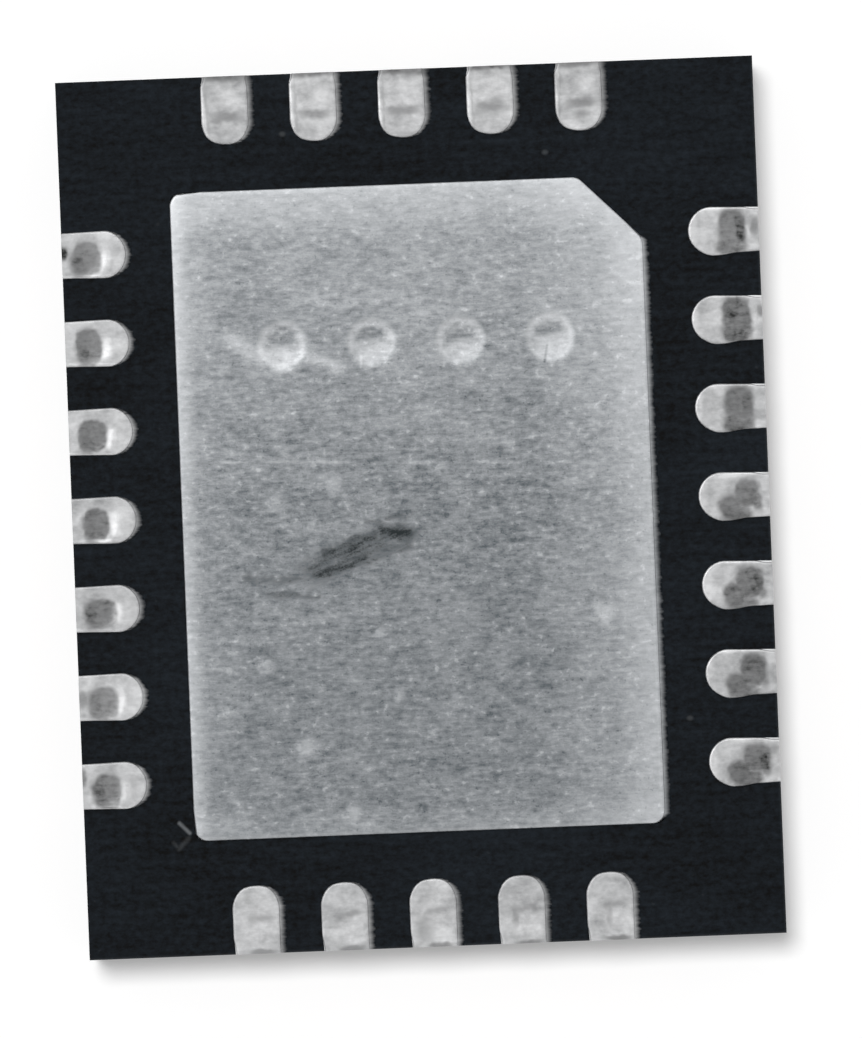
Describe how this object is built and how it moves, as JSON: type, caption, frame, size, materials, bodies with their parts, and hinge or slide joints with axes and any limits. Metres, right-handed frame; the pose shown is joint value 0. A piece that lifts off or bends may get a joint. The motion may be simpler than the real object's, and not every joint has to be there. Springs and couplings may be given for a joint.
{
  "type": "qfn chip",
  "caption": "Moulded quad flat no-lead chip with plated edge lands round an exposed thermal pad, for surface soldering.",
  "frame": {"origin": "middle of the marking face that the chip lies on", "axes": "+Z out of the land side, +Y along the longer side towards the pad's cut corner, +X across the body towards the first lead"},
  "size_m": [0.004, 0.005, 0.0008],
  "materials": {
    "mould_compound": "matte",
    "tin_plate": "satin",
    "silver_epoxy": "matte",
    "silicon": "gloss",
    "gold_wire": "polished"
  },
  "bodies": {
    "root": {"mould_body": "mould_compound", "paddle": "tin_plate", "die_attach": "silver_epoxy", "die": "silicon", "lead_01": "tin_plate", "lead_02": "tin_plate", "lead_03": "tin_plate", "lead_04": "tin_plate", "lead_05": "tin_plate", "lead_06": "tin_plate", "lead_07": "tin_plate", "lead_08": "tin_plate", "lead_09": "tin_plate", "lead_10": "tin_plate", "lead_11": "tin_plate", "lead_12": "tin_plate", "lead_13": "tin_plate", "lead_14": "tin_plate", "lead_15": "tin_plate", "lead_16": "tin_plate", "lead_17": "tin_plate", "lead_18": "tin_plate", "lead_19": "tin_plate", "lead_20": "tin_plate", "lead_21": "tin_plate", "lead_22": "tin_plate", "lead_23": "tin_plate", "lead_24": "tin_plate", "bond_wire_01": "gold_wire", "bond_wire_02": "gold_wire", "bond_wire_03": "gold_wire", "bond_wire_04": "gold_wire", "bond_wire_05": "gold_wire", "bond_wire_06": "gold_wire", "bond_wire_07": "gold_wire", "bond_wire_08": "gold_wire", "bond_wire_09": "gold_wire", "bond_wire_10": "gold_wire", "bond_wire_11": "gold_wire", "bond_wire_12": "gold_wire", "bond_wire_13": "gold_wire", "bond_wire_14": "gold_wire", "bond_wire_15": "gold_wire", "bond_wire_16": "gold_wire", "bond_wire_17": "gold_wire", "bond_wire_18": "gold_wire", "bond_wire_19": "gold_wire", "bond_wire_20": "gold_wire", "bond_wire_21": "gold_wire", "bond_wire_22": "gold_wire", "bond_wire_23": "gold_wire", "bond_wire_24": "gold_wire"}
  },
  "joints": []
}
